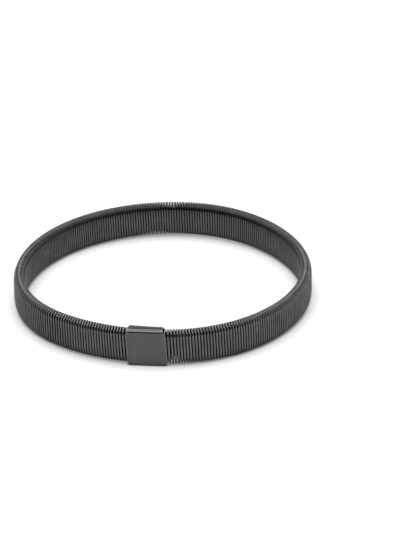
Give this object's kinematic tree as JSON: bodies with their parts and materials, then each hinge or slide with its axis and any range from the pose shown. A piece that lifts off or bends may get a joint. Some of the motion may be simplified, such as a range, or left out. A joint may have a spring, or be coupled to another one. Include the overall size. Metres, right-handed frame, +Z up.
{
  "type": "coil spring stretch arm band",
  "caption": "Elastic arm band: a flattened steel coil spring closed into a ring by a folded sheet metal clasp, stretching and squeezing to fit over a sleeve or wrist.",
  "frame": {"origin": "centre of the relaxed ring, on the plane that the clasp's lower fold rests on", "axes": "+Z up along the ring's axis, clasp at -Y, +X to the right when the clasp is looked at from outside"},
  "size_m": [0.09, 0.0899, 0.0118],
  "materials": {
    "coil_wire": "black nickel plated spring wire, glossy along each turn, dark in the grooves",
    "clasp_nickel": "smooth glossy black nickel plate with rounded folds",
    "tongue_steel": "plain steel strip"
  },
  "bodies": {
    "clasp": {"clasp_shell": "clasp_nickel", "joining_tongue": "tongue_steel", "coil_end_right": "coil_wire", "coil_end_left": "coil_wire"},
    "run_01": {"coil_run_01": "coil_wire"},
    "run_02": {"coil_run_02": "coil_wire"},
    "run_03": {"coil_run_03": "coil_wire"},
    "run_04": {"coil_run_04": "coil_wire"},
    "run_05": {"coil_run_05": "coil_wire"},
    "run_06": {"coil_run_06": "coil_wire"},
    "run_07": {"coil_run_07": "coil_wire"},
    "run_08": {"coil_run_08": "coil_wire"},
    "run_09": {"coil_run_09": "coil_wire"},
    "run_10": {"coil_run_10": "coil_wire"},
    "run_11": {"coil_run_11": "coil_wire"},
    "run_12": {"coil_run_12": "coil_wire"},
    "run_13": {"coil_run_13": "coil_wire"},
    "run_14": {"coil_run_14": "coil_wire"},
    "run_15": {"coil_run_15": "coil_wire"},
    "run_16": {"coil_run_16": "coil_wire"},
    "run_17": {"coil_run_17": "coil_wire"},
    "run_18": {"coil_run_18": "coil_wire"},
    "run_19": {"coil_run_19": "coil_wire"},
    "run_20": {"coil_run_20": "coil_wire"},
    "run_21": {"coil_run_21": "coil_wire"},
    "run_22": {"coil_run_22": "coil_wire"},
    "run_23": {"coil_run_23": "coil_wire"},
    "run_24": {"coil_run_24": "coil_wire"},
    "run_25": {"coil_run_25": "coil_wire"},
    "run_26": {"coil_run_26": "coil_wire"},
    "run_27": {"coil_run_27": "coil_wire"},
    "run_28": {"coil_run_28": "coil_wire"},
    "run_29": {"coil_run_29": "coil_wire"},
    "run_30": {"coil_run_30": "coil_wire"},
    "run_31": {"coil_run_31": "coil_wire"},
    "run_32": {"coil_run_32": "coil_wire"},
    "run_33": {"coil_run_33": "coil_wire"},
    "run_34": {"coil_run_34": "coil_wire"},
    "run_35": {"coil_run_35": "coil_wire"},
    "run_36": {"coil_run_36": "coil_wire"},
    "run_37": {"coil_run_37": "coil_wire"},
    "run_38": {"coil_run_38": "coil_wire"},
    "run_39": {"coil_run_39": "coil_wire"},
    "run_40": {"coil_run_40": "coil_wire"},
    "run_41": {"coil_run_41": "coil_wire"},
    "run_42": {"coil_run_42": "coil_wire"},
    "run_43": {"coil_run_43": "coil_wire"},
    "run_44": {"coil_run_44": "coil_wire"},
    "run_45": {"coil_run_45": "coil_wire"},
    "run_46": {"coil_run_46": "coil_wire"},
    "run_47": {"coil_run_47": "coil_wire"}
  },
  "joints": [
    {"name": "band_stretch", "type": "slide", "parent": "clasp", "child": "run_01", "axis": [0.9895, 0.1447, 0], "range_m": [0, 0.0042], "stiffness_N_per_m": 16500},
    {"name": "band_squeeze", "type": "hinge", "parent": "run_01", "child": "run_02", "pos_m": [0.01618, -0.04005, 0.006], "axis": [0, 0, 1], "range_deg": [-8, 8], "stiffness_Nm_per_rad": 0.8},
    {"name": "stretch_03", "type": "slide", "parent": "run_02", "child": "run_03", "axis": [0.8763, 0.4818, 0], "range_m": [0, 0.00351]},
    {"name": "bend_04", "type": "hinge", "parent": "run_03", "child": "run_04", "pos_m": [0.02515, -0.03512, 0.006], "axis": [0, 0, 1], "range_deg": [-3.02, 3.02]},
    {"name": "stretch_05", "type": "slide", "parent": "run_04", "child": "run_05", "axis": [0.7383, 0.6744, 0], "range_m": [0, 0.00351]},
    {"name": "bend_06", "type": "hinge", "parent": "run_05", "child": "run_06", "pos_m": [0.03271, -0.02822, 0.006], "axis": [0, 0, 1], "range_deg": [-1.7, 1.7]},
    {"name": "stretch_07", "type": "slide", "parent": "run_06", "child": "run_07", "axis": [0.5589, 0.8292, 0], "range_m": [0, 0.00351]},
    {"name": "bend_08", "type": "hinge", "parent": "run_07", "child": "run_08", "pos_m": [0.03843, -0.01973, 0.006], "axis": [0, 0, 1], "range_deg": [-4.97, 4.97]},
    {"name": "stretch_09", "type": "slide", "parent": "run_08", "child": "run_09", "axis": [0.3481, 0.9374, 0], "range_m": [0, 0.00351]},
    {"name": "bend_10", "type": "hinge", "parent": "run_09", "child": "run_10", "pos_m": [0.04199, -0.01014, 0.006], "axis": [0, 0, 1], "range_deg": [-6.61, 6.61]},
    {"name": "stretch_11", "type": "slide", "parent": "run_10", "child": "run_11", "axis": [0.1178, 0.993, 0], "range_m": [0, 0.00351]},
    {"name": "bend_12", "type": "hinge", "parent": "run_11", "child": "run_12", "pos_m": [0.0432, 0.00003, 0.006], "axis": [0, 0, 1], "range_deg": [-7.07, 7.07]},
    {"name": "stretch_13", "type": "slide", "parent": "run_12", "child": "run_13", "axis": [-0.1191, 0.9929, 0], "range_m": [0, 0.00351]},
    {"name": "bend_14", "type": "hinge", "parent": "run_13", "child": "run_14", "pos_m": [0.04198, 0.01019, 0.006], "axis": [0, 0, 1], "range_deg": [-6.6, 6.6]},
    {"name": "stretch_15", "type": "slide", "parent": "run_14", "child": "run_15", "axis": [-0.3494, 0.937, 0], "range_m": [0, 0.00351]},
    {"name": "bend_16", "type": "hinge", "parent": "run_15", "child": "run_16", "pos_m": [0.0384, 0.01978, 0.006], "axis": [0, 0, 1], "range_deg": [-4.95, 4.95]},
    {"name": "stretch_17", "type": "slide", "parent": "run_16", "child": "run_17", "axis": [-0.56, 0.8285, 0], "range_m": [0, 0.00351]},
    {"name": "bend_18", "type": "hinge", "parent": "run_17", "child": "run_18", "pos_m": [0.03267, 0.02826, 0.006], "axis": [0, 0, 1], "range_deg": [-1.68, 1.68]},
    {"name": "stretch_19", "type": "slide", "parent": "run_18", "child": "run_19", "axis": [-0.7392, 0.6735, 0], "range_m": [0, 0.00351]},
    {"name": "bend_20", "type": "hinge", "parent": "run_19", "child": "run_20", "pos_m": [0.02511, 0.03516, 0.006], "axis": [0, 0, 1], "range_deg": [-3.05, 3.05]},
    {"name": "stretch_21", "type": "slide", "parent": "run_20", "child": "run_21", "axis": [-0.8769, 0.4807, 0], "range_m": [0, 0.00351]},
    {"name": "bend_22", "type": "hinge", "parent": "run_21", "child": "run_22", "pos_m": [0.01613, 0.04008, 0.006], "axis": [0, 0, 1], "range_deg": [-8.04, 8.04]},
    {"name": "stretch_23", "type": "slide", "parent": "run_22", "child": "run_23", "axis": [-0.9654, 0.2609, 0], "range_m": [0, 0.00351]},
    {"name": "bend_24", "type": "hinge", "parent": "run_23", "child": "run_24", "pos_m": [0.00625, 0.04275, 0.006], "axis": [0, 0, 1], "range_deg": [-11.45, 11.45]},
    {"name": "stretch_25", "type": "slide", "parent": "run_24", "child": "run_25", "axis": [-0.9895, -0.1447, 0], "range_m": [0, 0.00421]},
    {"name": "bend_26", "type": "hinge", "parent": "run_25", "child": "run_26", "pos_m": [-0.01618, 0.04005, 0.006], "axis": [0, 0, 1], "range_deg": [-8.02, 8.02]},
    {"name": "stretch_27", "type": "slide", "parent": "run_26", "child": "run_27", "axis": [-0.8763, -0.4818, 0], "range_m": [0, 0.00351]},
    {"name": "bend_28", "type": "hinge", "parent": "run_27", "child": "run_28", "pos_m": [-0.02515, 0.03512, 0.006], "axis": [0, 0, 1], "range_deg": [-3.02, 3.02]},
    {"name": "stretch_29", "type": "slide", "parent": "run_28", "child": "run_29", "axis": [-0.7383, -0.6744, 0], "range_m": [0, 0.00351]},
    {"name": "bend_30", "type": "hinge", "parent": "run_29", "child": "run_30", "pos_m": [-0.03271, 0.02822, 0.006], "axis": [0, 0, 1], "range_deg": [-1.7, 1.7]},
    {"name": "stretch_31", "type": "slide", "parent": "run_30", "child": "run_31", "axis": [-0.5589, -0.8292, 0], "range_m": [0, 0.00351]},
    {"name": "bend_32", "type": "hinge", "parent": "run_31", "child": "run_32", "pos_m": [-0.03843, 0.01973, 0.006], "axis": [0, 0, 1], "range_deg": [-4.97, 4.97]},
    {"name": "stretch_33", "type": "slide", "parent": "run_32", "child": "run_33", "axis": [-0.3481, -0.9374, 0], "range_m": [0, 0.00351]},
    {"name": "bend_34", "type": "hinge", "parent": "run_33", "child": "run_34", "pos_m": [-0.04199, 0.01014, 0.006], "axis": [0, 0, 1], "range_deg": [-6.61, 6.61]},
    {"name": "stretch_35", "type": "slide", "parent": "run_34", "child": "run_35", "axis": [-0.1178, -0.993, 0], "range_m": [0, 0.00351]},
    {"name": "bend_36", "type": "hinge", "parent": "run_35", "child": "run_36", "pos_m": [-0.0432, -0.00003, 0.006], "axis": [0, 0, 1], "range_deg": [-7.07, 7.07]},
    {"name": "stretch_37", "type": "slide", "parent": "run_36", "child": "run_37", "axis": [0.1191, -0.9929, 0], "range_m": [0, 0.00351]},
    {"name": "bend_38", "type": "hinge", "parent": "run_37", "child": "run_38", "pos_m": [-0.04198, -0.01019, 0.006], "axis": [0, 0, 1], "range_deg": [-6.6, 6.6]},
    {"name": "stretch_39", "type": "slide", "parent": "run_38", "child": "run_39", "axis": [0.3494, -0.937, 0], "range_m": [0, 0.00351]},
    {"name": "bend_40", "type": "hinge", "parent": "run_39", "child": "run_40", "pos_m": [-0.0384, -0.01978, 0.006], "axis": [0, 0, 1], "range_deg": [-4.95, 4.95]},
    {"name": "stretch_41", "type": "slide", "parent": "run_40", "child": "run_41", "axis": [0.56, -0.8285, 0], "range_m": [0, 0.00351]},
    {"name": "bend_42", "type": "hinge", "parent": "run_41", "child": "run_42", "pos_m": [-0.03267, -0.02826, 0.006], "axis": [0, 0, 1], "range_deg": [-1.68, 1.68]},
    {"name": "stretch_43", "type": "slide", "parent": "run_42", "child": "run_43", "axis": [0.7392, -0.6735, 0], "range_m": [0, 0.00351]},
    {"name": "bend_44", "type": "hinge", "parent": "run_43", "child": "run_44", "pos_m": [-0.02511, -0.03516, 0.006], "axis": [0, 0, 1], "range_deg": [-3.05, 3.05]},
    {"name": "stretch_45", "type": "slide", "parent": "run_44", "child": "run_45", "axis": [0.8769, -0.4807, 0], "range_m": [0, 0.00351]},
    {"name": "bend_46", "type": "hinge", "parent": "run_45", "child": "run_46", "pos_m": [-0.01613, -0.04008, 0.006], "axis": [0, 0, 1], "range_deg": [-8.04, 8.04]},
    {"name": "stretch_47", "type": "slide", "parent": "run_46", "child": "run_47", "axis": [0.9654, -0.2609, 0], "range_m": [0, 0.00351]}
  ],
  "couplings": [
    {"joint": "stretch_03", "follows": "band_stretch", "ratio": 0.83333},
    {"joint": "bend_04", "follows": "band_squeeze", "ratio": 0.37694},
    {"joint": "stretch_05", "follows": "band_stretch", "ratio": 0.83333},
    {"joint": "bend_06", "follows": "band_squeeze", "ratio": -0.21247},
    {"joint": "stretch_07", "follows": "band_stretch", "ratio": 0.83333},
    {"joint": "bend_08", "follows": "band_squeeze", "ratio": -0.61959},
    {"joint": "stretch_09", "follows": "band_stretch", "ratio": 0.83333},
    {"joint": "bend_10", "follows": "band_squeeze", "ratio": -0.82445},
    {"joint": "stretch_11", "follows": "band_stretch", "ratio": 0.83333},
    {"joint": "bend_12", "follows": "band_squeeze", "ratio": -0.88142},
    {"joint": "stretch_13", "follows": "band_stretch", "ratio": 0.83333},
    {"joint": "bend_14", "follows": "band_squeeze", "ratio": -0.82379},
    {"joint": "stretch_15", "follows": "band_stretch", "ratio": 0.83333},
    {"joint": "bend_16", "follows": "band_squeeze", "ratio": -0.61796},
    {"joint": "stretch_17", "follows": "band_stretch", "ratio": 0.83333},
    {"joint": "bend_18", "follows": "band_squeeze", "ratio": -0.20968},
    {"joint": "stretch_19", "follows": "band_stretch", "ratio": 0.83333},
    {"joint": "bend_20", "follows": "band_squeeze", "ratio": 0.38043},
    {"joint": "stretch_21", "follows": "band_stretch", "ratio": 0.83333},
    {"joint": "bend_22", "follows": "band_squeeze", "ratio": 1.0031},
    {"joint": "stretch_23", "follows": "band_stretch", "ratio": 0.83333},
    {"joint": "bend_24", "follows": "band_squeeze", "ratio": 1.4289},
    {"joint": "stretch_25", "follows": "band_stretch", "ratio": 1},
    {"joint": "bend_26", "follows": "band_squeeze", "ratio": 1},
    {"joint": "stretch_27", "follows": "band_stretch", "ratio": 0.83333},
    {"joint": "bend_28", "follows": "band_squeeze", "ratio": 0.37694},
    {"joint": "stretch_29", "follows": "band_stretch", "ratio": 0.83333},
    {"joint": "bend_30", "follows": "band_squeeze", "ratio": -0.21247},
    {"joint": "stretch_31", "follows": "band_stretch", "ratio": 0.83333},
    {"joint": "bend_32", "follows": "band_squeeze", "ratio": -0.61959},
    {"joint": "stretch_33", "follows": "band_stretch", "ratio": 0.83333},
    {"joint": "bend_34", "follows": "band_squeeze", "ratio": -0.82445},
    {"joint": "stretch_35", "follows": "band_stretch", "ratio": 0.83333},
    {"joint": "bend_36", "follows": "band_squeeze", "ratio": -0.88142},
    {"joint": "stretch_37", "follows": "band_stretch", "ratio": 0.83333},
    {"joint": "bend_38", "follows": "band_squeeze", "ratio": -0.82379},
    {"joint": "stretch_39", "follows": "band_stretch", "ratio": 0.83333},
    {"joint": "bend_40", "follows": "band_squeeze", "ratio": -0.61796},
    {"joint": "stretch_41", "follows": "band_stretch", "ratio": 0.83333},
    {"joint": "bend_42", "follows": "band_squeeze", "ratio": -0.20968},
    {"joint": "stretch_43", "follows": "band_stretch", "ratio": 0.83333},
    {"joint": "bend_44", "follows": "band_squeeze", "ratio": 0.38043},
    {"joint": "stretch_45", "follows": "band_stretch", "ratio": 0.83333},
    {"joint": "bend_46", "follows": "band_squeeze", "ratio": 1.0031},
    {"joint": "stretch_47", "follows": "band_stretch", "ratio": 0.83333}
  ]
}
